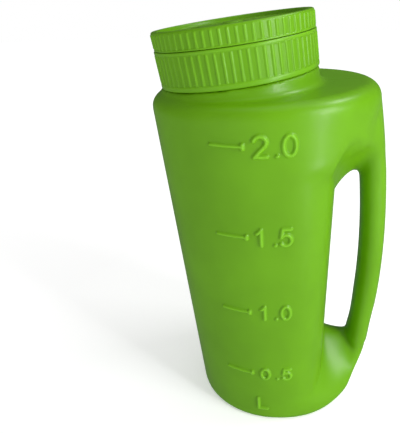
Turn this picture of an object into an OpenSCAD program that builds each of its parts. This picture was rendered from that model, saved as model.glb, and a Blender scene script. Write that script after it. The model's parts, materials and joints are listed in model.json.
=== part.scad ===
// Two-litre hand shaker bottle: a blow-moulded jug with a through handle, closed by a ribbed
// screw collar that carries a rotating dispensing dial.
// +Z is up, +X points to the handle, and the origin is the centre of the base.

/* [Bottle] */
// Half width of the base, along X
base_rx = 60.4; // [56:0.1:64]
// Half depth of the base, along Y
base_ry = 54.2; // [50:0.1:58]
// Half width of the shoulder, along X
shoulder_rx = 65.7; // [62:0.1:70]
// Half depth of the shoulder, along Y
shoulder_ry = 59.2; // [56:0.1:62]
// Height at which the shoulder starts to round over
shoulder_z = 216; // [210:0.5:220]
// How far the shoulder sits from the base centre, along X
shoulder_shift = -4.3; // [-6:0.1:-2]
// Radius of the rounded shoulder edge
shoulder_fillet = 9.5; // [6:0.5:12]
// Radius of the rounded base edge
base_fillet = 3.2; // [2:0.1:5]
// Wall of the moulding
wall = 1.8; // [1.4:0.1:2.4]

/* [Handle] */
// Farthest reach of the handle from the base centre
handle_reach = 74.9; // [72:0.1:78]
// Height of that farthest point
handle_mid_z = 110; // [104:1:116]
// Radius of the handle's outward bow
handle_bow = 556; // [500:1:620]
// Thickness of the grip, along X
grip_x = 16.4; // [14:0.1:18]
// Depth of the grip, along Y
grip_y = 26; // [22:0.5:30]
// Bottom of the hand hole
hole_low = 38; // [34:0.5:42]
// Top of the hand hole
hole_high = 169; // [162:0.5:172]
// Wall of the body beside the bottom of the hand hole
flank_low = 35.6; // [33:0.1:37]
// Wall of the body beside the top of the hand hole
flank_high = 39.6; // [37:0.1:41]

/* [Lid] */
// Outer radius over the ribs
lid_r = 46; // [45.5:0.1:47]
// Lean of the neck and lid away from the handle, in degrees
lid_tilt = 6; // [4:0.5:7]
// Centre of the collar's lower rim, along X
lid_x = -17.7; // [-19:0.1:-16]
// Centre of the collar's lower rim, along Z
lid_z = 231.5; // [231:0.1:233]
// Height of the screw collar's skirt
collar_h = 19.6; // [19:0.1:20.5]
// Height of the dial, rim to rim
dial_h = 8.4; // [8:0.1:9]
// Ribs round each tier
rib_count = 70; // [60:1:80]

/* [Thread] */
// Rise of the thread in one turn
pitch = 5; // [4.6:0.1:5.4]
// Turns of engagement
thread_turns = 1.5; // [1.25:0.25:1.5]

/* [Hidden] */
leaf = [0.38, 0.62, 0.12];
leaf_dark = [0.33, 0.56, 0.10];
$fn = 96;
ring_points = 48;

// Axial stations, measured along the lid's axis from the collar's lower rim
neck_r = 41.3;
mouth_r = 39.1;
neck_root_r = 44.6;
neck_root_w = -1.2;
rim_w = 14.5;
seat_gap = 0.05;
gasket_t = 2;
ledge_w = rim_w + gasket_t + 2 * seat_gap;
thread_h = 1.6;
thread_foot = 1.1;
thread_crest = 0.6;
thread_low_w = 3.6;
thread_offset = 2;
skirt_in_r = neck_r + thread_h + 0.5;
skirt_r = lid_r - 0.5;
band_h = 3;
turret_in_r = 38.9;
turret_r = 41;
turret_w = 24.9;
plate_t = 2.2;
dial_low_w = collar_h + 0.6;
dial_top_w = dial_low_w + dial_h;
dial_r = lid_r - 0.4;
dial_in_r = 42.4;
dial_under_w = turret_w + seat_gap;
dial_floor_w = dial_under_w + 2;
dial_recess_r = 41.6;
dial_edge = 2;
pin_r = 3;
pin_play = 0.06;
pin_snug = 0.02;

function lerp(a, b, t) = a + (b - a) * t;
function smooth(a, b, v) = let (u = min(1, max(0, (v - a) / (b - a)))) u * u * (3 - 2 * u);
function half_width(z) = lerp(base_rx, shoulder_rx, z / shoulder_z);
function half_depth(z) = lerp(base_ry, shoulder_ry, z / shoulder_z);
function centre_x(z) = shoulder_shift * z / shoulder_z;

// How strongly the body is drawn in beside the hand hole, 0 to 1
function pinch(z) = smooth(hole_low - 16, hole_low + 6, z) * (1 - smooth(hole_high - 16, hole_high + 16, z));
function flank(z) = lerp(flank_low, flank_high, (z - hole_low) / (hole_high - hole_low));
function right_reach(z) = lerp(bow_x(z) - 0.6, flank(z), pinch(z));

// One closed ring: an ellipse on the left, and a blunter curve of exponent n on the right
function ring(cx, cz, tilt, left, right, depth, n = 2, count = ring_points) = [
    for (i = [0 : count - 1])
        let (
            a = 360 * (i + 0.5) / count,
            c = cos(a),
            s = sin(a),
            e = c > 0 ? 2 / n : 1,
            x = (c > 0 ? right : left) * sign(c) * pow(abs(c), e),
            y = depth * sign(s) * pow(abs(s), e)
        )
        [cx + x * cos(tilt), y, cz + x * sin(tilt)]
];

// Ring at height z of the side wall, drawn in by inset
function side_ring(z, inset) = ring(
    centre_x(z), z, 0,
    half_width(z) - inset, right_reach(z) - centre_x(z) - inset, half_depth(z) - inset,
    2 + 0.7 * pinch(z)
);

// Ring across the lid's axis, w above the collar's lower rim
function neck_ring(w, r) = ring(lid_x - w * sin(lid_tilt), lid_z + w * cos(lid_tilt), lid_tilt, r, r, r);

function side_heights() = concat(
    [base_fillet, 14],
    [for (z = [hole_low - 16 : 5.5 : hole_low + 6]) z],
    [for (z = [62 : 20 : 142]) z],
    [for (z = [hole_high - 16 : 5 : hole_high + 16]) z],
    [194, 206, shoulder_z]
);

// Rings from the floor to the shoulder; t is the wall left outside them
function body_rings(t) = concat(
    [for (a = [0 : 45 : 45]) side_ring(t + base_fillet * (1 - cos(a)), t + base_fillet * (1 - sin(a)))],
    [for (z = side_heights()) side_ring(max(z, t + base_fillet + 0.1), t)],
    [
        for (a = [22.5 : 22.5 : 90])
            let (f = shoulder_fillet)
            ring(
                shoulder_shift, shoulder_z - t + f * sin(a), 1,
                shoulder_rx - t - f * (1 - cos(a)),
                right_reach(shoulder_z) - shoulder_shift - t - f * (1 - cos(a)),
                shoulder_ry - t - f * (1 - cos(a))
            )
    ]
);

module loft(rings) {
    n = len(rings[0]);
    levels = len(rings);
    points = [for (r = rings) for (p = r) p];
    sides = [
        for (k = [0 : levels - 2])
            for (i = [0 : n - 1])
                let (a = k * n + i, b = k * n + (i + 1) % n)
                for (f = [[a, a + n, b], [b, a + n, b + n]]) f
    ];
    floor_face = [for (i = [0 : n - 1]) i];
    top_face = [for (i = [n - 1 : -1 : 0]) (levels - 1) * n + i];
    polyhedron(points, concat(sides, [floor_face], [top_face]), convexity = 8);
}

module on_lid_axis(w = 0) {
    translate([lid_x, 0, lid_z])
        rotate([0, -lid_tilt, 0])
        translate([0, 0, w])
        children();
}

// Grip: oval sections strung along the bow, thicker and deeper where they run into the body
function bow_x(z) = handle_reach - handle_bow + sqrt(pow(handle_bow, 2) - pow(z - handle_mid_z, 2));
function root(z) = max(1 - smooth(hole_low - 10, hole_low + 6, z), smooth(hole_high - 6, hole_high + 10, z));
function bead_x(z) = lerp(grip_x, 36, root(z)) / 2;
function bead_y(z) = grip_y / 2 + 16 * max(1 - smooth(0, hole_low + 14, z), smooth(hole_high - 16, 214, z));
function bead_sink(z) = 3.5 * max(1 - smooth(6, 22, z), smooth(190, 206, z));
function bead_heights() = concat(
    [6, 22, 30, 35, 40, 46],
    [for (z = [64 : 22 : 152]) z],
    [163, 169, 175, 190, 206]
);

function grip_ring(z, t) = let (hx = bead_x(z) - t)
    ring(bow_x(z) - bead_x(z) - bead_sink(z), z, 0, hx, hx, bead_y(z) - t, 2, 24);

module grip(t) {
    z = bead_heights();
    for (i = [0 : len(z) - 2])
        hull()
            loft([grip_ring(z[i], t), grip_ring(z[i + 1], t)]);
}

// Helical ridge: foot sunk in the wall at radius r0, crest on radius r1, its centre starting at height w0
module helix(r0, r1, w0) {
    steps = 72;
    foot_r = r1 > r0 ? r0 - 0.6 : r0 + 0.6;
    profile = [[foot_r, -thread_foot], [r1, -thread_crest], [r1, thread_crest], [foot_r, thread_foot]];
    m = len(profile);
    points = [
        for (i = [0 : steps])
            let (a = 360 * thread_turns * i / steps, w = w0 + pitch * thread_turns * i / steps)
            for (p = profile) [p[0] * cos(a), p[0] * sin(a), w + p[1]]
    ];
    sides = [
        for (i = [0 : steps - 1])
            for (j = [0 : m - 1])
                let (a = i * m + j, b = i * m + (j + 1) % m)
                for (f = [[a, b, a + m], [b, b + m, a + m]]) f
    ];
    start_face = [for (j = [m - 1 : -1 : 0]) j];
    end_face = [for (j = [0 : m - 1]) steps * m + j];
    faces = concat(sides, [start_face], [end_face]);
    flipped = [for (f = faces) [for (k = [len(f) - 1 : -1 : 0]) f[k]]];
    polyhedron(points, r1 > r0 ? faces : flipped, convexity = 8);
}

module bottle_body() {
    color(leaf)
        difference() {
            union() {
                loft(concat(
                    body_rings(0),
                    [neck_ring(neck_root_w, neck_root_r), neck_ring(0, neck_r), neck_ring(rim_w, neck_r)]
                ));
                on_lid_axis()
                    helix(neck_r, neck_r + thread_h, thread_low_w);
                grip(0);
            }
            loft(concat(
                body_rings(wall),
                [neck_ring(neck_root_w - wall, mouth_r), neck_ring(rim_w + 1, mouth_r)]
            ));
            grip(wall);
        }
}

module neck_gasket() {
    color("gainsboro")
        on_lid_axis(rim_w + seat_gap)
        difference() {
            cylinder(r = skirt_in_r - 0.3, h = gasket_t);
            translate([0, 0, -1])
                cylinder(r = turret_in_r, h = gasket_t + 2);
        }
}

// Sleeve with fine upright ribs: outer radius r between them, and a bore of radius r_in
module ribbed_sleeve(r, r_in, low, high) {
    step = 360 / rib_count;
    rise = 0.45;
    outline = [
        for (i = [0 : rib_count - 1])
            for (q = [[-0.10, 0], [-0.045, rise], [0.045, rise], [0.10, 0]])
                let (a = step * (i + q[0]), d = r + q[1])
                [d * cos(a), d * sin(a)]
    ];
    translate([0, 0, low])
        linear_extrude(high - low)
        difference() {
            polygon(outline);
            circle(r = r_in);
        }
}

// Open sector between two radii, centred on -X
module window(r_in, r_out, half_angle, h) {
    far = r_out * 1.6;
    intersection() {
        difference() {
            cylinder(r = r_out, h = h);
            translate([0, 0, -1])
                cylinder(r = r_in, h = h + 2);
        }
        linear_extrude(h)
            polygon([
                [0, 0],
                [-far * cos(half_angle), -far * sin(half_angle)],
                [-far * 1.3, 0],
                [-far * cos(half_angle), far * sin(half_angle)]
            ]);
    }
}

module collar_shell() {
    difference() {
        rotate_extrude()
            polygon([
                [skirt_in_r, 0], [lid_r - 0.6, 0], [lid_r, 0.6], [lid_r, band_h - 0.5],
                [skirt_r - 0.5, band_h], [skirt_r - 0.5, collar_h - 1.6], [lid_r - 0.2, collar_h - 1.3],
                [lid_r - 0.2, collar_h - 0.5], [lid_r - 0.7, collar_h], [turret_r, collar_h],
                [turret_r, turret_w], [0, turret_w], [0, turret_w - plate_t],
                [turret_in_r, turret_w - plate_t], [turret_in_r, ledge_w], [skirt_in_r, ledge_w]
            ]);
        translate([0, 0, turret_w - plate_t - 1])
            cylinder(r = pin_r + pin_snug, h = plate_t + 2);
        translate([0, 0, turret_w - plate_t - 1])
            window(12, 35.5, 40, plate_t + 2);
    }
}

module screw_collar() {
    color(leaf)
        on_lid_axis()
        union() {
            union() {
                collar_shell();
                ribbed_sleeve(skirt_r, skirt_r - 1, band_h - 0.4, collar_h - 1.4);
            }
            helix(skirt_in_r, skirt_in_r - thread_h + 0.1, thread_low_w - thread_offset);
        }
}

// Round holes of radius r on a circle of radius at, spread evenly over a sector centred on -X
module hole_row(r, at, count, half_angle) {
    for (i = [0 : count - 1])
        rotate([0, 0, 180 - half_angle + 2 * half_angle * (count == 1 ? 0.5 : i / (count - 1))])
            translate([at, 0, 0])
            cylinder(r = r, h = 6, center = true, $fn = 32);
}

module dispensing_dial() {
    color(leaf_dark)
        on_lid_axis()
        difference() {
            union() {
                rotate_extrude()
                    difference() {
                        union() {
                            translate([0, dial_low_w])
                                square([dial_r - 0.9, dial_h - dial_edge]);
                            translate([0, dial_top_w - 3.6])
                                square([dial_r, 3.6 - dial_edge]);
                            translate([0, dial_low_w])
                                square([dial_r, 0.9]);
                            translate([0, dial_top_w - dial_edge])
                                square([dial_r - dial_edge, dial_edge]);
                            translate([dial_r - dial_edge, dial_top_w - dial_edge])
                                circle(r = dial_edge);
                        }
                        translate([-5, dial_floor_w])
                            square([5 + dial_recess_r, 10]);
                        translate([-5, dial_low_w - 1])
                            square([5 + dial_in_r, dial_under_w - dial_low_w + 1]);
                        translate([-10, 0])
                            square([10, 60]);
                    }
                ribbed_sleeve(dial_r - 0.4, dial_r - 1.4, dial_low_w + 0.6, dial_top_w - 3.3);
            }
            translate([0, 0, dial_floor_w - 1])
                cylinder(r = pin_r + pin_play, h = 6, center = true);
            translate([0, 0, dial_floor_w - 1]) {
                hole_row(4.6, 29.5, 4, 30);
                hole_row(4.6, 18.5, 2, 17);
                rotate([0, 0, 90]) {
                    hole_row(3, 31.5, 5, 32);
                    hole_row(3, 23.5, 4, 30);
                    hole_row(3, 15.8, 2, 18);
                }
                rotate([0, 0, -90]) {
                    hole_row(1.75, 32.5, 7, 33);
                    hole_row(1.75, 26, 6, 32);
                    hole_row(1.75, 19.5, 4, 29);
                }
            }
        }
}

// Snap rivet: a domed head on the dial, a shank through dial and collar, and a barb under the plate
module pivot_pin() {
    color(leaf_dark)
        on_lid_axis()
        rotate_extrude()
        polygon([
            [0, turret_w - plate_t - 2], [2.4, turret_w - plate_t - 2], [pin_r + 0.9, turret_w - plate_t - 0.6],
            [pin_r + 0.9, turret_w - plate_t - seat_gap], [pin_r, turret_w - plate_t - seat_gap],
            [pin_r, dial_floor_w + seat_gap], [6, dial_floor_w + seat_gap], [6, dial_floor_w + 0.8],
            [4.8, dial_floor_w + 1.4], [0, dial_floor_w + 1.6]
        ]);
}

bottle_body();
neck_gasket();
screw_collar();
dispensing_dial();
pivot_pin();
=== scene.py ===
import json
import math

import bmesh
import bpy
import numpy as np
from mathutils import Matrix, Vector


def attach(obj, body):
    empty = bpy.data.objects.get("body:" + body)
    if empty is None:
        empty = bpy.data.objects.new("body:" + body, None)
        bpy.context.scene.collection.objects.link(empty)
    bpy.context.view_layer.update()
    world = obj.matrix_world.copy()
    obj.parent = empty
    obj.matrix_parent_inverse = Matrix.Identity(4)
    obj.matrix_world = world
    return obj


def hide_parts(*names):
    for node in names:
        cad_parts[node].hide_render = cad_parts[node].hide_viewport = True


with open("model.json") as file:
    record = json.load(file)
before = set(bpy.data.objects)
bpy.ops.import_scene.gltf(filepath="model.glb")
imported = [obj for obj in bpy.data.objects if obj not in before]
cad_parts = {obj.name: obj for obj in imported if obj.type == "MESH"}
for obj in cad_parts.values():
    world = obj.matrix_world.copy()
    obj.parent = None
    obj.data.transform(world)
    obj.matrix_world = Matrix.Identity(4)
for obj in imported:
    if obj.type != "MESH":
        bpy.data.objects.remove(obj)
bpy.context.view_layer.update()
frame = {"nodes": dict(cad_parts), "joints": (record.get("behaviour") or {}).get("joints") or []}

MM = 0.001

# ---------------------------------------------------------------------------
# Driving dimensions, in millimetres. Heights are above the base; w is measured
# along the lid's axis from the collar's lower rim.
# ---------------------------------------------------------------------------
BASE_RX, BASE_RY, BASE_FILLET = 60.4, 54.2, 3.2
SHOULDER_RX, SHOULDER_RY, SHOULDER_Z = 65.7, 59.2, 216.0
SHOULDER_SHIFT, SHOULDER_FILLET, SHOULDER_TOP = -4.3, 7.6, 225.8
BOW_REACH, BOW_Z, BOW_R, BOW_ROUND = 74.9, 110.0, 556.0, 90.0
GRIP_HX, GRIP_HY = 8.2, 13.0
HOLE_LOW, HOLE_HIGH = 37.5, 169.3
BLEND = 13.0
WALL = 1.8

LID = next(j for j in frame["joints"] if j["name"] == "collar_turn")
LID_POINT = np.array(LID["pos_m"]) / MM
LID_AXIS = np.array(LID["axis"]) / np.linalg.norm(LID["axis"])
LID_SIDE = np.array([LID_AXIS[2], 0.0, -LID_AXIS[0]])
LID_DEPTH = np.array([0.0, 1.0, 0.0])

LID_R, COLLAR_H, DIAL_TOP_W, TIER_GAP = 46.0, 19.5, 29.3, 0.2
NECK_R, MOUTH_R, RIM_W, NECK_ROOT_R, NECK_ROOT_W = 41.3, 39.1, 14.5, 45.5, -0.2
THREAD_H, THREAD_LOW_W, THREAD_TURNS, PITCH = 1.6, 3.6, 1.5, 5.0
RIBS, RIB_END = 70, 0.9
DECK_W, DIAL_FLOOR_W = 24.9, 26.95

# Marks: text, height, height and width of a digit, where each digit starts, end of the tick
MARKS = [
    ("2.0", 206.6, 12.4, 8.2, (-8.8, 2.8, 5.9), -13.4),
    ("1.5", 154.4, 12.0, 7.8, (-10.0, 0.7, 3.6), -14.2),
    ("1.0", 100.6, 11.6, 7.2, (-9.6, 0.2, 3.3), -15.2),
    ("0.5", 47.2, 10.8, 7.3, (-11.0, -0.3, 3.1), -16.2),
]
UNIT_MARK = ("L", 17.2, 10.2, 7.4, (-13.2,))
STROKE = 0.95
RELIEF = 1.25


# ---------------------------------------------------------------------------
# Small maths helpers, all working on whole arrays
# ---------------------------------------------------------------------------
def lerp(a, b, t):
    return a + (b - a) * t


def smooth(a, b, v):
    u = np.clip((v - a) / (b - a), 0, 1)
    return u * u * (3 - 2 * u)


def soft_min(a, b, k):
    h = np.clip(0.5 + 0.5 * (b - a) / k, 0, 1)
    return lerp(b, a, h) - k * h * (1 - h)


def round_max(a, b, r):
    """Intersection of two solids, given as distances, with its edge rounded to radius r."""
    return np.minimum(np.maximum(a, b), -r) + np.hypot(np.maximum(a + r, 0), np.maximum(b + r, 0))


def oval(x, y, rx, ry, n=2.0):
    """Approximate distance to a superellipse."""
    ax, ay = np.abs(x / rx) + 1e-9, np.abs(y / ry) + 1e-9
    k = (ax**n + ay**n) ** (1 / n)
    slope = np.hypot((ax / k) ** (n - 1) / rx, (ay / k) ** (n - 1) / ry)
    return (k - 1) / slope


# ---------------------------------------------------------------------------
# The bottle as a solid: distance in mm at points p, negative inside
# ---------------------------------------------------------------------------
def bow_x(z):
    return BOW_REACH - BOW_R + np.sqrt(np.maximum(BOW_R**2 - (z - BOW_Z) ** 2, 1))


def hole_span(x, y, z):
    """1 beside the hand hole, 0 above and below it, where the wall slopes out to the full section."""
    arch = 18 * (np.clip(x - 53, 0, 20) / 16) ** 2 + 11 * (np.clip(47 - x, 0, 14) / 12) ** 2
    depth = np.sqrt(y * y + 64) - 8
    soft = smooth(0, 32, np.abs(y))
    over = (z + arch * soft - 150.8 - 52 * np.tanh(1.85 * depth / 52)) / lerp(45, 14, soft)
    flare = 18 * (np.clip(x - 53, 0, 20) / 16) ** 2
    under = (41.0 + (4 + flare) * soft - 26 * np.tanh(1.1 * depth / 26) - z) / lerp(10, 26, soft)
    return (1 - smooth(0, 1, over)) * (1 - smooth(0, 1, under))


def side_reach(z, pinch):
    """x of the body's right side: just inside the bow, and far inside it where pinch is 1."""
    flank = lerp(34.0, 38.1, (z - HOLE_LOW) / (HOLE_HIGH - HOLE_LOW))
    tuck = 7.5 * smooth(8, 38, z) * (1 - smooth(168, 206, z))
    trim = 3.0 * smooth(168, 190, z) - 4.0 * smooth(202, 220, z) + 4.2 * (1 - smooth(2, 34, z))
    return lerp(bow_x(z) - 1.2 - trim - tuck, flank, pinch)


def body_side(x, y, z):
    """Side wall: an ellipse on the left, drawn in to a blunt D beside the hand hole on the right."""
    s = z / SHOULDER_Z
    centre = SHOULDER_SHIFT * s
    pinch = hole_span(x, y, z)
    rx = np.where(x < centre, lerp(BASE_RX, SHOULDER_RX, s), side_reach(z, pinch) - centre)
    n = np.where(x < centre, 2.0, 2.0 + 0.9 * pinch + 0.12 * (1 - smooth(0, 40, z)))
    return oval(x - centre, y, rx, lerp(BASE_RY, SHOULDER_RY, s), n)


def outline_inset(z):
    """How far the outline on the right lies inside the bow: a little at the shoulder, more at the foot."""
    foot = 4.0 * (1 - smooth(0, 40, z)) + 0.6 * np.exp(-(((z - 50) / 16) ** 2))
    return 0.3 * smooth(172, 184, z) + foot


def grip(x, y, z):
    """Oval handle along the bow. At its two roots it sinks as much as the blend with the body adds."""
    inset = outline_inset(z)
    depth = bow_x(z) - side_reach(z, hole_span(x, 0 * y, z)) - inset
    sink = inset + (math.sqrt(BLEND) - np.sqrt(np.clip(depth, 0, BLEND))) ** 2
    spread = 1 + 0.3 * (1 - smooth(10, 56, z)) + 0.3 * smooth(158, 204, z)
    u = np.hypot(x - (BOW_REACH - BOW_R), z - BOW_Z) - (BOW_R - GRIP_HX)
    return oval(u, y, GRIP_HX, GRIP_HY * spread, 2.2) + sink


def neck_frame(p):
    """Distance from the lid's axis, and height along it."""
    d = p - LID_POINT
    w = d @ LID_AXIS
    return np.linalg.norm(d - w[:, None] * LID_AXIS, axis=1), w


def shell_side(p, inset):
    x, y, z = p.T
    body = soft_min(body_side(x, y, z), grip(x, y, z), BLEND)
    bow = np.hypot(x - (BOW_REACH - BOW_R), z - BOW_Z) - BOW_R - 0.15 + y * y / BOW_ROUND
    body = np.maximum(body, bow) + inset
    top = z - SHOULDER_TOP - 0.028 * (x + 5) + inset
    body = round_max(body, top, SHOULDER_FILLET - inset)
    r, w = neck_frame(p)
    root = np.maximum(r - NECK_ROOT_R, np.maximum(w - NECK_ROOT_W, -w - 14)) + inset
    body = soft_min(body, root, 5)
    return round_max(body, inset - z, BASE_FILLET)


def outer(p):
    r, w = neck_frame(p)
    neck = np.maximum(r - NECK_R, np.maximum(w - RIM_W - 6, -w - 8))
    return soft_min(shell_side(p, 0.0), neck, 1.2)


def cavity(p):
    r, w = neck_frame(p)
    bore = np.maximum(r - MOUTH_R, np.maximum(w - RIM_W - 6, -w - 12))
    return soft_min(shell_side(p, WALL), bore, 1.0)


# ---------------------------------------------------------------------------
# Meshing: surface nets on a grid, then every point is moved onto the surface
# ---------------------------------------------------------------------------
def gradient(solid, p, step=0.05):
    g = np.empty_like(p)
    for axis in range(3):
        d = np.zeros(3)
        d[axis] = step
        g[:, axis] = (solid(p + d) - solid(p - d)) / (2 * step)
    return g


def settle(solid, p, rounds=4, reach=1.0):
    """Newton steps towards the zero surface, each capped at reach."""
    for _ in range(rounds):
        g = gradient(solid, p)
        move = -solid(p)[:, None] * g / np.maximum((g * g).sum(1), 0.05)[:, None]
        size = np.linalg.norm(move, axis=1)
        p = p + move * np.minimum(1, reach / np.maximum(size, 1e-9))[:, None]
    return p


def surface_net(solid, low, high, cell):
    """Quads over the zero surface of solid, one vertex in each grid cell that it crosses."""
    axes = [np.arange(a, b + cell, cell) for a, b in zip(low, high)]
    shape = [len(a) for a in axes]
    grid = np.stack(np.meshgrid(*axes, indexing="ij"), -1).reshape(-1, 3)
    value = np.concatenate([solid(block) for block in np.array_split(grid, 24)]).reshape(shape)
    inside = value < 0
    total = np.zeros([n - 1 for n in shape] + [3])
    count = np.zeros([n - 1 for n in shape])
    corner = np.stack(np.meshgrid(*axes, indexing="ij"), -1)
    edges = []
    for axis in range(3):
        a = [slice(None)] * 3
        b = [slice(None)] * 3
        a[axis], b[axis] = slice(None, -1), slice(1, None)
        va, vb = value[tuple(a)], value[tuple(b)]
        cross = inside[tuple(a)] != inside[tuple(b)]
        t = np.where(cross, va / np.where(cross, va - vb, 1), 0)
        point = corner[tuple(a)].copy()
        point[..., axis] += t * cell
        point *= cross[..., None]
        others = [k for k in range(3) if k != axis]
        for du in (0, 1):
            for dv in (0, 1):
                pick = [slice(None)] * 3
                pick[others[0]] = slice(du, shape[others[0]] - 1 + du)
                pick[others[1]] = slice(dv, shape[others[1]] - 1 + dv)
                total += point[tuple(pick)]
                count += cross[tuple(pick)]
        edges.append((axis, others, cross))
    used = count > 0
    index = np.full(count.shape, -1)
    index[used] = np.arange(used.sum())
    points = total[used] / count[used][:, None]
    quads = []
    for axis, others, cross in edges:
        inner = [slice(None)] * 3
        inner[others[0]] = slice(1, -1)
        inner[others[1]] = slice(1, -1)
        at = np.argwhere(cross[tuple(inner)])
        for o in others:
            at[:, o] += 1
        ring = []
        for du, dv in ((-1, -1), (0, -1), (0, 0), (-1, 0)):
            q = at.copy()
            q[:, others[0]] += du
            q[:, others[1]] += dv
            ring.append(index[tuple(q.T)])
        quad = np.stack(ring, 1)
        flip = inside[tuple(at.T)] == (axis == 1)
        quad[flip] = quad[flip][:, ::-1]
        quads.append(quad)
    return points, np.concatenate(quads)


def link(name, mesh):
    """Smooth-shaded object of its own for a mesh."""
    mesh.polygons.foreach_set("use_smooth", [True] * len(mesh.polygons))
    obj = bpy.data.objects.new(name, mesh)
    bpy.context.scene.collection.objects.link(obj)
    return obj


def mesh_from(points, faces):
    """Closed mesh from points in mm, with its normals outward."""
    mesh = bpy.data.meshes.new("part")
    mesh.from_pydata((np.asarray(points) * MM).tolist(), [], [list(map(int, f)) for f in faces])
    bm = bmesh.new()
    bm.from_mesh(mesh)
    bmesh.ops.recalc_face_normals(bm, faces=bm.faces)
    bm.to_mesh(mesh)
    bm.free()
    return mesh


def paint_crest_highlight(obj, crest_highlight):
    """Stores how much painted highlight each point gets, from 0 to 1; the given function takes points in mm."""
    points = np.empty(len(obj.data.vertices) * 3)
    obj.data.vertices.foreach_get("co", points)
    values = crest_highlight(points.reshape(-1, 3) / MM)
    obj.data.attributes.new("crest_highlight", "FLOAT", "POINT").data.foreach_set("value", values)
    return obj


def joined(name, meshes):
    """One object from several closed meshes."""
    bm = bmesh.new()
    for mesh in meshes:
        bm.from_mesh(mesh)
        bpy.data.meshes.remove(mesh)
    whole = bpy.data.meshes.new(name)
    bm.to_mesh(whole)
    bm.free()
    return link(name, whole)


# ---------------------------------------------------------------------------
# Numerals and ticks, as strokes on the front: polylines in mm, x right, y up
# ---------------------------------------------------------------------------
def arc(cx, cy, rx, ry, a0, a1, steps=18):
    t = np.radians(np.linspace(a0, a1, steps + 1))
    return np.stack([cx + rx * np.cos(t), cy + ry * np.sin(t)], 1)


def glyph(char, w, h):
    """Strokes of one character in a box w by h with its lower left corner at the origin."""
    if char == "0":
        return [arc(w / 2, h / 2, w / 2, h / 2, 0, 360, 36)]
    if char == "1":
        return [np.array([[0.1 * w, 0.76 * h], [0.3 * w, 0.84 * h], [0.5 * w, h], [0.5 * w, 0]])]
    if char == "2":
        top = arc(w / 2, 0.72 * h, w / 2, 0.28 * h, 165, -32)
        tail = [[0.42 * w, 0.26 * h], [0.04 * w, 0]]
        return [np.concatenate([top, tail]), np.array([[0.04 * w, 0], [w, 0]])]
    if char == "5":
        bowl = arc(0.46 * w, 0.33 * h, 0.54 * w, 0.33 * h, 118, -140)
        head = np.array([[0.95 * w, h], [0.2 * w, h], [0.08 * w, 0.55 * h]])
        return [head, np.concatenate([[[0.08 * w, 0.52 * h]], bowl])]
    if char == "L":
        return [np.array([[0, h], [0, 0], [0.8 * w, 0]])]
    return [np.array([[0.0, 0.1], [0.0, 0.2]])]


def stroke_distance(q, line):
    best = np.full(len(q), 1e9)
    for a, b in zip(line[:-1], line[1:]):
        d = b - a
        t = np.clip(((q - a) @ d) / max(d @ d, 1e-9), 0, 1)
        best = np.minimum(best, np.linalg.norm(q - a - t[:, None] * d, axis=1))
    return best


def mark_strokes():
    """Every stroke on the front as (polyline, half width)."""
    strokes = []
    for text, z, h, w, starts, bead in MARKS:
        for char, start in zip(text, starts):
            lines = glyph(char, w - 2 * STROKE, h - 2 * STROKE)
            strokes += [(line + [start + STROKE, z - h / 2 + STROKE], STROKE) for line in lines]
        strokes.append((np.array([[bead, z - 0.9], [bead, z + 0.9]]), 1.0))
        strokes.append((np.array([[bead - 16.4, z + 0.4], [bead, z]]), 0.6))
    text, z, h, w, starts = UNIT_MARK
    strokes += [(line + [starts[0], z - h / 2], STROKE) for line in glyph(text, w, h)]
    return strokes


def relief_height(p):
    """Height of the embossing above the wall at points on the front."""
    q = p[:, [0, 2]]
    height = np.zeros(len(p))
    for line, half in mark_strokes():
        lo, hi = line.min(0) - 3, line.max(0) + 3
        near = ((q > lo) & (q < hi)).all(1)
        if near.any():
            d = stroke_distance(q[near], line)
            rise = 1 - smooth(half * 0.35, half + 0.55, d)
            height[near] = np.maximum(height[near], rise)
    return RELIEF * height


# ---------------------------------------------------------------------------
# Pieces
# ---------------------------------------------------------------------------
def cut_at_rim(bm):
    """Cuts away everything beyond the bottle's rim plane."""
    point = Vector((LID_POINT + LID_AXIS * RIM_W) * MM)
    geom = bm.verts[:] + bm.edges[:] + bm.faces[:]
    bmesh.ops.bisect_plane(bm, geom=geom, plane_co=point, plane_no=Vector(LID_AXIS), clear_outer=True)


def near_mark(x, z):
    """Whether a point of the front is on a numeral or its tick, or just beside one."""
    for _, height, h, w, starts, *bead in MARKS + [UNIT_MARK]:
        if abs(z - height) < h / 2 + 2.4 and starts[0] - 2.4 < x < starts[-1] + w + 2.4:
            return True
        if bead and abs(z - height) < 3.6 and bead[0] - 19 < x < bead[0] + 4:
            return True
    return False


def refine_front(bm, cuts):
    """Cuts the faces around each mark finely, so that the embossing has geometry to stand on."""
    chosen = []
    for f in bm.faces:
        c = f.calc_center_median() / MM
        if c.y < -25 and near_mark(c.x, c.z):
            chosen.append(f)
    edges = list({e for f in chosen for e in f.edges})
    bmesh.ops.subdivide_edges(bm, edges=edges, cuts=cuts, use_grid_fill=True)


def helix_ridge(foot_r, crest_r, low_w, steps=180):
    """Thread ridge round the lid's axis, fading out at both ends."""
    foot, crest = 1.1, 0.6
    profile = [(0, -foot), (0.75, -crest - 0.1), (1, -crest + 0.15), (1, crest - 0.15), (0.75, crest + 0.1), (0, foot)]
    points, faces = [], []
    m = len(profile)
    for i in range(steps + 1):
        t = THREAD_TURNS * i / steps
        fade = min(1, 8 * min(i, steps - i) / steps)
        a = 2 * math.pi * t
        for rise, offset in profile:
            r = foot_r + (crest_r - foot_r) * rise * (0.3 + 0.7 * fade)
            w = low_w + PITCH * t + offset * (0.4 + 0.6 * fade)
            points.append(LID_POINT + LID_AXIS * w + r * (math.cos(a) * LID_SIDE + math.sin(a) * LID_DEPTH))
    for i in range(steps):
        for j in range(m):
            a, b = i * m + j, i * m + (j + 1) % m
            faces.append((a, a + m, b + m, b))
    faces.append(tuple(range(m)))
    faces.append(tuple(reversed(range(steps * m, steps * m + m))))
    return mesh_from(points, faces)


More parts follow.
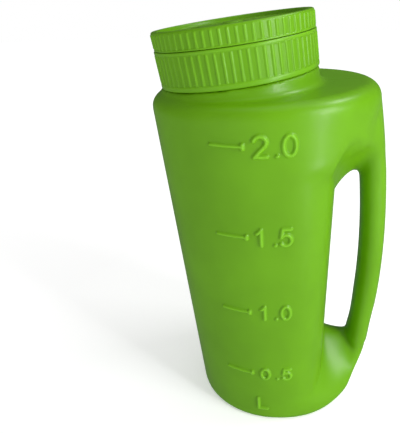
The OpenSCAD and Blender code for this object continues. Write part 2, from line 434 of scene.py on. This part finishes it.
def build_bottle():
    cell = 2.0
    low, high = np.array([-74.0, -63, -3]), np.array([79.0, 63, 258])
    wall, wall_quads = surface_net(outer, low, high, cell)
    wall = settle(outer, wall)
    hollow, hollow_quads = surface_net(cavity, low, high, 3.0)
    hollow = settle(cavity, hollow)

    bm = bmesh.new()
    for points, quads, turned in ((wall, wall_quads, False), (hollow, hollow_quads, True)):
        part = bmesh.new()
        verts = [part.verts.new(p * MM) for p in points]
        for q in quads:
            ring = [verts[i] for i in (reversed(q) if turned else q)]
            part.faces.new(ring)
        cut_at_rim(part)
        if not turned:
            refine_front(part, 5)
        mesh = bpy.data.meshes.new("part")
        part.to_mesh(mesh)
        part.free()
        bm.from_mesh(mesh)
        bpy.data.meshes.remove(mesh)
    rim = [e for e in bm.edges if e.is_boundary]
    bmesh.ops.bridge_loops(bm, edges=rim)
    bmesh.ops.recalc_face_normals(bm, faces=bm.faces)

    co = np.array([v.co for v in bm.verts]) / MM
    front = (co[:, 0] > -36) & (co[:, 0] < 18) & (co[:, 1] < -25) & (co[:, 2] > 8) & (co[:, 2] < 216)
    front &= np.abs(outer(co)) < 0.5
    p = settle(outer, co[front], 3)
    g = gradient(outer, p)
    g /= np.linalg.norm(g, axis=1)[:, None]
    co[front] = p + g * relief_height(p)[:, None]
    for v, c in zip(bm.verts, co):
        v.co = c * MM
    shell = bpy.data.meshes.new("part")
    bm.to_mesh(shell)
    bm.free()
    thread = helix_ridge(NECK_R - 0.6, NECK_R + THREAD_H, THREAD_LOW_W)
    # Painted highlight: the tops of the embossed numerals and ticks are coloured paler.
    return paint_crest_highlight(joined("bottle", [shell, thread]), lambda p: relief_height(p) / RELIEF * (p[:, 1] < -25))


def lathe(profile, columns=1120, rib=None):
    """Closed ring swept round the lid's axis. profile is (r, w) points in order; rib(r, w, angle) adds to r."""
    prof = np.array(profile, float)
    angle = 2 * math.pi * np.arange(columns) / columns
    r = np.repeat(prof[:, 0][:, None], columns, 1)
    w = np.repeat(prof[:, 1][:, None], columns, 1)
    if rib is not None:
        r = r + rib(r, w, angle[None, :])
    radial = np.cos(angle)[:, None] * LID_SIDE + np.sin(angle)[:, None] * LID_DEPTH
    points = LID_POINT + w[..., None] * LID_AXIS + r[..., None] * radial[None]
    rows = len(prof)
    k = np.arange(rows)[:, None] * columns
    i = np.arange(columns)[None, :]
    a, b = k + i, k + (i + 1) % columns
    faces = np.stack([a, b, np.roll(b, -1, axis=0), np.roll(a, -1, axis=0)], -1).reshape(-1, 4)
    return mesh_from(points.reshape(-1, 3), faces)


def plate(radius, low, high, openings, edge=0.3):
    """Flat plate across the lid with rounded edges; openings are closed outlines in the lid's plane."""
    curve = bpy.data.curves.new("plate", "CURVE")
    curve.dimensions, curve.fill_mode = "2D", "BOTH"
    curve.extrude = (high - low) / 2 - edge
    curve.bevel_depth, curve.bevel_resolution, curve.offset = edge, 3, -edge
    for outline in [arc(0, 0, radius, radius, 0, 360, 160)[:-1]] + openings:
        spline = curve.splines.new("POLY")
        spline.use_cyclic_u = True
        spline.points.add(len(outline) - 1)
        for point, (x, y) in zip(spline.points, outline):
            point.co = (x, y, 0, 1)
    holder = bpy.data.objects.new("plate", curve)
    bpy.context.scene.collection.objects.link(holder)
    flat = bpy.data.meshes.new_from_object(holder.evaluated_get(bpy.context.evaluated_depsgraph_get()))
    bpy.data.objects.remove(holder)
    bm = bmesh.new()
    bm.from_mesh(flat)
    bmesh.ops.remove_doubles(bm, verts=bm.verts, dist=0.001)
    place = np.stack([LID_SIDE, LID_DEPTH, LID_AXIS], 1)
    for v in bm.verts:
        local = np.array(v.co) + [0, 0, (low + high) / 2]
        v.co = (LID_POINT + place @ local) * MM
    bmesh.ops.recalc_face_normals(bm, faces=bm.faces)
    bm.to_mesh(flat)
    bm.free()
    return flat


def hole(r, at, degrees):
    """Round opening of radius r whose centre is at a distance and a direction from the pin."""
    a = math.radians(degrees)
    return arc(at * math.cos(a), at * math.sin(a), r, r, 0, 360, 28)[:-1]


def hole_group(r, facing, rows):
    """Openings in one quarter of the dial; rows are (distance, count, half angle)."""
    found = []
    for at, count, half in rows:
        found += [hole(r, at, facing + half * (2 * i / (count - 1) - 1)) for i in range(count)]
    return found


def rounded(points, radius, steps=4):
    """Profile with each corner that has a radius turned into a short arc."""
    out = []
    n = len(points)
    for i, p in enumerate(points):
        p = np.array(p, float)
        r = radius[i]
        if r <= 0:
            out.append(p)
            continue
        a, b = np.array(points[i - 1], float), np.array(points[(i + 1) % n], float)
        da, db = (a - p) / np.linalg.norm(a - p), (b - p) / np.linalg.norm(b - p)
        for s in range(steps + 1):
            t = s / steps
            out.append((1 - t) ** 2 * (p + da * r) + 2 * t * (1 - t) * p + t * t * (p + db * r))
    return out


def stations(points, heights):
    """Adds a point to a closed profile wherever its outermost upright run passes one of the heights."""
    face = max(p[0] for p in points) - 1.0
    out = []
    for a, b in zip(points, points[1:] + points[:1]):
        out.append(a)
        if min(a[0], b[0]) > face:
            t = sorted((h - a[1]) / (b[1] - a[1]) for h in heights if min(a[1], b[1]) < h < max(a[1], b[1]))
            out += [lerp(a, b, k) for k in t]
    return out


def rib_field(face_r, low, high, rise=0.45):
    """Fine upright ribs on the outer face between two heights."""
    def rib(r, w, angle):
        pitch = 2 * math.pi / RIBS
        off = np.abs((angle / pitch + 0.5) % 1 - 0.5) * pitch * face_r
        bump = 1 - smooth(0.25, 0.95, off)
        ends = smooth(low, low + RIB_END, w) * (1 - smooth(high - RIB_END, high, w))
        on_face = (r > face_r - 0.3) & (r < face_r + 0.3)
        return rise * bump * ends * on_face
    return rib


def proud_of(face_r):
    """Painted highlight of a ribbed piece: slight on what stands proud of the face, none below it."""
    return lambda p: 0.45 * np.clip((neck_frame(p)[0] - face_r) / 0.4, 0, 1)


def rib_stations(low, high):
    """Heights at which the ribs need a row of points: through their rounded ends, and a few between."""
    ends = np.linspace(0, RIB_END, 6)
    return sorted([*(low + ends), *(high - ends), *np.linspace(low + RIB_END, high - RIB_END, 4)[1:-1]])


def build_collar():
    face = LID_R - 0.55
    corners = [
        (NECK_R + 2.1, 0), (LID_R - 0.1, 0), (LID_R - 0.1, 2.3), (face, 3.0), (face, COLLAR_H - 2.0),
        (face + 0.35, COLLAR_H - 1.5), (face + 0.35, COLLAR_H), (41.0, COLLAR_H), (41.0, DECK_W),
        (38.9, DECK_W), (38.9, 16.6), (NECK_R + 2.1, 16.6),
    ]
    radii = [0.3, 0.8, 0.5, 0.4, 0.4, 0.3, 0.6, 0.3, 0.4, 0.3, 0.3, 0.3]
    low, high = 2.6, COLLAR_H - 1.6
    profile = stations(rounded(corners, radii), rib_stations(low, high))
    skirt = lathe(profile, rib=rib_field(face, low, high))
    thread = helix_ridge(NECK_R + 2.4, NECK_R + 0.6, THREAD_LOW_W - 2)
    window = np.concatenate([arc(0, 0, 35.5, 35.5, 140, 220, 40), arc(0, 0, 12, 12, 220, 140, 20)])
    deck = plate(39.4, DECK_W - 2.2, DECK_W - 0.02, [window, hole(3.02, 0, 0)])
    # Painted highlight on the crests of the collar's ribs.
    return paint_crest_highlight(joined("collar", [skirt, thread, deck]), proud_of(face))


def build_dial():
    face = LID_R - 0.9
    low, top = COLLAR_H + TIER_GAP, DIAL_TOP_W
    corners = [
        (42.4, low), (face + 0.3, low), (face + 0.3, low + 0.7), (face, low + 1.1), (face + 0.1, top),
        (41.6, top), (41.2, DIAL_FLOOR_W), (40.0, DIAL_FLOOR_W), (40.0, DECK_W + 0.05), (42.4, DECK_W + 0.05),
    ]
    radii = [0.2, 0.4, 0.2, 0.2, 1.3, 0.9, 0.5, 0, 0, 0.3]
    foot, head = low + 0.6, top - 0.9
    profile = stations(rounded(corners, radii, 5), rib_stations(foot, head))
    rim = lathe(profile, rib=rib_field(face, foot, head))
    holes = hole_group(4.6, 180, [(29.5, 4, 30), (18.5, 2, 17)])
    holes += hole_group(3.0, 270, [(31.5, 5, 32), (23.5, 4, 30), (15.8, 2, 18)])
    holes += hole_group(1.75, 90, [(32.5, 7, 33), (26.0, 6, 32), (19.5, 4, 29)])
    floor = plate(40.4, DECK_W + 0.07, DIAL_FLOOR_W + 0.02, holes + [hole(3.06, 0, 0)])
    # Painted highlight on the crests of the dial's ribs.
    return paint_crest_highlight(joined("dial", [rim, floor]), proud_of(face))


# ---------------------------------------------------------------------------
# Materials
# ---------------------------------------------------------------------------
def node(tree, kind, **inputs):
    n = tree.nodes.new(kind)
    for key, value in inputs.items():
        n.inputs[key.replace("_", " ")].default_value = value
    return n


def parting_line(tree, where, shade, surface):
    """Mould parting line where the two mould halves met, in the plane y = 0: colour and ridge."""
    split = tree.nodes.new("ShaderNodeSeparateXYZ")
    away = tree.nodes.new("ShaderNodeMath")
    away.operation = "ABSOLUTE"
    line = node(tree, "ShaderNodeMapRange", From_Min=0.00015, From_Max=0.0007, To_Min=1.0, To_Max=0.0)
    faint = node(tree, "ShaderNodeMapRange", To_Max=0.3)
    tint = tree.nodes.new("ShaderNodeMix")
    tint.data_type = "RGBA"
    tint.inputs[7].default_value = (0.1, 0.16, 0.004, 1)
    ridge = node(tree, "ShaderNodeBump", Strength=0.4, Distance=0.0003)
    link = tree.links.new
    link(where, split.inputs[0])
    link(split.outputs["Y"], away.inputs[0])
    link(away.outputs[0], line.inputs["Value"])
    link(line.outputs["Result"], faint.inputs["Value"])
    link(faint.outputs["Result"], tint.inputs[0])
    link(shade, tint.inputs[6])
    link(line.outputs["Result"], ridge.inputs["Height"])
    link(surface, ridge.inputs["Normal"])
    return tint.outputs[2], ridge.outputs["Normal"]


def plastic(name, base, roughness, grain, coat, parted=False):
    """Moulded polyolefin: slight colour drift, fine orange peel, hairline scuffs, and a paler colour painted on crests
    as a highlight.
    """
    mat = bpy.data.materials.new(name)
    mat.use_nodes = True
    tree = mat.node_tree
    bsdf = tree.nodes["Principled BSDF"]
    link = tree.links.new
    where = tree.nodes.new("ShaderNodeTexCoord")
    drift = node(tree, "ShaderNodeTexNoise", Scale=16.0, Detail=3.0, Roughness=0.6)
    link(where.outputs["Object"], drift.inputs["Vector"])
    shade = tree.nodes.new("ShaderNodeValToRGB")
    shade.color_ramp.elements[0].position, shade.color_ramp.elements[1].position = 0.3, 0.75
    dark = [c * 0.9 for c in base]
    light = [min(1, c * 1.1) for c in base]
    shade.color_ramp.elements[0].color = (*dark, 1)
    shade.color_ramp.elements[1].color = (*light, 1)
    link(drift.outputs["Fac"], shade.inputs["Fac"])

    # Painted highlight: the stored crest value turns the colour paler on the crests of ribs and numerals.
    crest_light_node = tree.nodes.new("ShaderNodeAttribute")
    crest_light_node.attribute_name = "crest_highlight"
    mix = tree.nodes.new("ShaderNodeMix")
    mix.data_type = "RGBA"
    mix.inputs[7].default_value = (*[min(1, c * 1.3 + 0.012) for c in light], 1)
    amount = node(tree, "ShaderNodeMapRange", To_Max=0.8)
    link(crest_light_node.outputs["Fac"], amount.inputs["Value"])
    link(amount.outputs["Result"], mix.inputs[0])
    link(shade.outputs["Color"], mix.inputs[6])
    peel = node(tree, "ShaderNodeTexNoise", Scale=grain, Detail=2.0, Roughness=0.5)
    link(where.outputs["Object"], peel.inputs["Vector"])
    fine = node(tree, "ShaderNodeTexNoise", Scale=grain * 7, Detail=2.0, Roughness=0.6)
    link(where.outputs["Object"], fine.inputs["Vector"])
    gloss = tree.nodes.new("ShaderNodeMapRange")
    gloss.inputs["To Min"].default_value = roughness - 0.05
    gloss.inputs["To Max"].default_value = roughness + 0.07
    link(fine.outputs["Fac"], gloss.inputs["Value"])
    link(gloss.outputs["Result"], bsdf.inputs["Roughness"])
    bump = node(tree, "ShaderNodeBump", Strength=0.10, Distance=0.0004)
    link(peel.outputs["Fac"], bump.inputs["Height"])
    micro = node(tree, "ShaderNodeBump", Strength=0.06, Distance=0.0001)
    link(fine.outputs["Fac"], micro.inputs["Height"])
    link(bump.outputs["Normal"], micro.inputs["Normal"])
    colour, surface = mix.outputs[2], micro.outputs["Normal"]
    if parted:
        colour, surface = parting_line(tree, where.outputs["Object"], colour, surface)
    link(colour, bsdf.inputs["Base Color"])
    link(surface, bsdf.inputs["Normal"])
    bsdf.inputs["Coat Weight"].default_value = coat
    bsdf.inputs["Coat Roughness"].default_value = 0.2
    bsdf.inputs["IOR"].default_value = 1.42
    bsdf.inputs["Specular IOR Level"].default_value = 0.38
    return mat


def floor_material():
    mat = bpy.data.materials.new("pale_floor")
    mat.use_nodes = True
    tree = mat.node_tree
    bsdf = tree.nodes["Principled BSDF"]
    noise = node(tree, "ShaderNodeTexNoise", Scale=4.0)
    ramp = tree.nodes.new("ShaderNodeValToRGB")
    ramp.color_ramp.elements[0].color = (0.86, 0.86, 0.86, 1)
    ramp.color_ramp.elements[1].color = (0.9, 0.9, 0.9, 1)
    tree.links.new(noise.outputs["Fac"], ramp.inputs["Fac"])
    tree.links.new(ramp.outputs["Color"], bsdf.inputs["Base Color"])
    bsdf.inputs["Roughness"].default_value = 0.9
    # Painted light: the floor glows, weakly near the bottle and more strongly farther out.
    bsdf.inputs["Emission Color"].default_value = (1, 1, 1, 1)
    where = tree.nodes.new("ShaderNodeTexCoord")
    far = tree.nodes.new("ShaderNodeVectorMath")
    far.operation = "LENGTH"
    floor_glow = node(tree, "ShaderNodeMapRange", From_Min=0.25, From_Max=1.0, To_Min=0.34, To_Max=0.66)
    tree.links.new(where.outputs["Object"], far.inputs[0])
    tree.links.new(far.outputs["Value"], floor_glow.inputs["Value"])
    tree.links.new(floor_glow.outputs["Result"], bsdf.inputs["Emission Strength"])
    # In reflections the floor is replaced by a dim, even glow.
    seen = tree.nodes.new("ShaderNodeLightPath")
    mirrored = node(tree, "ShaderNodeEmission", Strength=0.16)
    choose = tree.nodes.new("ShaderNodeMixShader")
    tree.links.new(seen.outputs["Is Glossy Ray"], choose.inputs[0])
    tree.links.new(bsdf.outputs[0], choose.inputs[1])
    tree.links.new(mirrored.outputs[0], choose.inputs[2])
    tree.links.new(choose.outputs[0], tree.nodes["Material Output"].inputs["Surface"])
    return mat


# ---------------------------------------------------------------------------
# Stage
# ---------------------------------------------------------------------------
def build_floor():
    bm = bmesh.new()
    bmesh.ops.create_grid(bm, x_segments=1, y_segments=1, size=3)
    mesh = bpy.data.meshes.new("floor")
    bm.to_mesh(mesh)
    bm.free()
    obj = bpy.data.objects.new("floor", mesh)
    bpy.context.scene.collection.objects.link(obj)
    obj.location.z = -0.0005
    mesh.materials.append(floor_material())


def area_light(name, place, target, size, size_y, power, mirrored=True):
    """Soft lamp at place, turned to target; one that is not mirrored leaves no highlight."""
    data = bpy.data.lights.new(name, "AREA")
    data.shape, data.size, data.size_y, data.energy = "RECTANGLE", size, size_y, power
    obj = bpy.data.objects.new(name, data)
    bpy.context.scene.collection.objects.link(obj)
    obj.location = place
    obj.rotation_euler = (Vector(target) - Vector(place)).to_track_quat("-Z", "Y").to_euler()
    obj.visible_glossy = mirrored


def build_lights():
    middle = (0, 0, 0.13)
    area_light("key", (0.75, -0.45, 0.55), middle, 0.3, 0.5, 4.6)
    area_light("glint", (0.53, 0.1, 0.84), (0.05, 0, 0.22), 0.3, 0.12, 2.2)
    area_light("strip", (0.38, -0.33, 0.2), (0.05, 0, 0.11), 0.06, 0.4, 0.9)
    area_light("top", (0.1, 0.1, 1.0), middle, 0.8, 0.8, 1.6)
    area_light("fill", (-0.45, -0.95, 0.3), middle, 1.1, 0.8, 2.4, mirrored=False)
    world = bpy.data.worlds.new("studio")
    bpy.context.scene.world = world
    world.use_nodes = True
    bpy.context.scene.view_settings.view_transform = "Standard"
    tree = world.node_tree
    background = tree.nodes["Background"]
    background.inputs["Color"].default_value = (1, 1, 1, 1)
    background.inputs["Strength"].default_value = 0.45
    paper = node(tree, "ShaderNodeBackground", Strength=1.0)
    paper.inputs["Color"].default_value = (1, 1, 1, 1)
    flag = node(tree, "ShaderNodeBackground", Strength=0.08)
    seen = tree.nodes.new("ShaderNodeLightPath")
    choose = tree.nodes.new("ShaderNodeMixShader")
    dim = tree.nodes.new("ShaderNodeMixShader")
    tree.links.new(seen.outputs["Is Glossy Ray"], dim.inputs[0])
    tree.links.new(background.outputs[0], dim.inputs[1])
    tree.links.new(flag.outputs[0], dim.inputs[2])
    tree.links.new(seen.outputs["Is Camera Ray"], choose.inputs[0])
    tree.links.new(dim.outputs[0], choose.inputs[1])
    tree.links.new(paper.outputs[0], choose.inputs[2])
    tree.links.new(choose.outputs[0], tree.nodes["World Output"].inputs["Surface"])


def build_camera():
    """Close camera, looking down on the front of the bottle."""
    data = bpy.data.cameras.new("camera")
    obj = bpy.data.objects.new("camera", data)
    bpy.context.scene.collection.objects.link(obj)
    yaw, pitch, roll = (math.radians(v) for v in (-2.98, 27.87, -2.11))
    forward = Vector((math.sin(yaw) * math.cos(pitch), math.cos(yaw) * math.cos(pitch), -math.sin(pitch)))
    right = Vector((math.cos(yaw), -math.sin(yaw), 0))
    up = right.cross(forward)
    right, up = (
        math.cos(roll) * right + math.sin(roll) * up,
        -math.sin(roll) * right + math.cos(roll) * up,
    )
    turn = Matrix((right, up, -forward)).transposed().to_4x4()
    obj.matrix_world = Matrix.Translation(Vector((7.636, -259.85, 273.8)) * MM) @ turn
    data.lens = 35.6
    data.shift_x = -0.1527
    data.shift_y = 0.0019
    data.clip_start = 0.01
    bpy.context.scene.camera = obj


# ---------------------------------------------------------------------------
LEAF = (0.112, 0.305, 0.002)
bottle_plastic = plastic("bottle_plastic", LEAF, 0.34, 260, 0.05, parted=True)
lid_plastic = plastic("lid_plastic", LEAF, 0.34, 420, 0.05)
liner_foam = plastic("liner_foam", (0.72, 0.72, 0.66), 0.8, 900, 0.0)

for piece, body, node_name, slot, look in (
    (build_bottle(), "bottle", "bottle_body", "bottle", bottle_plastic),
    (build_collar(), "collar", "screw_collar", "lid", lid_plastic),
    (build_dial(), "dial", "dispensing_dial", "lid", lid_plastic),
):
    piece.data.materials.append(look)
    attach(piece, body)
    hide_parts(node_name)

for node_name, look in (("pivot_pin", lid_plastic), ("neck_gasket", liner_foam)):
    cad = frame["nodes"][node_name]
    cad.data.materials.clear()
    cad.data.materials.append(look)
    bevel = cad.modifiers.new("edge", "BEVEL")
    bevel.width, bevel.segments, bevel.limit_method = 0.0002, 2, "ANGLE"

build_floor()
build_lights()
build_camera()
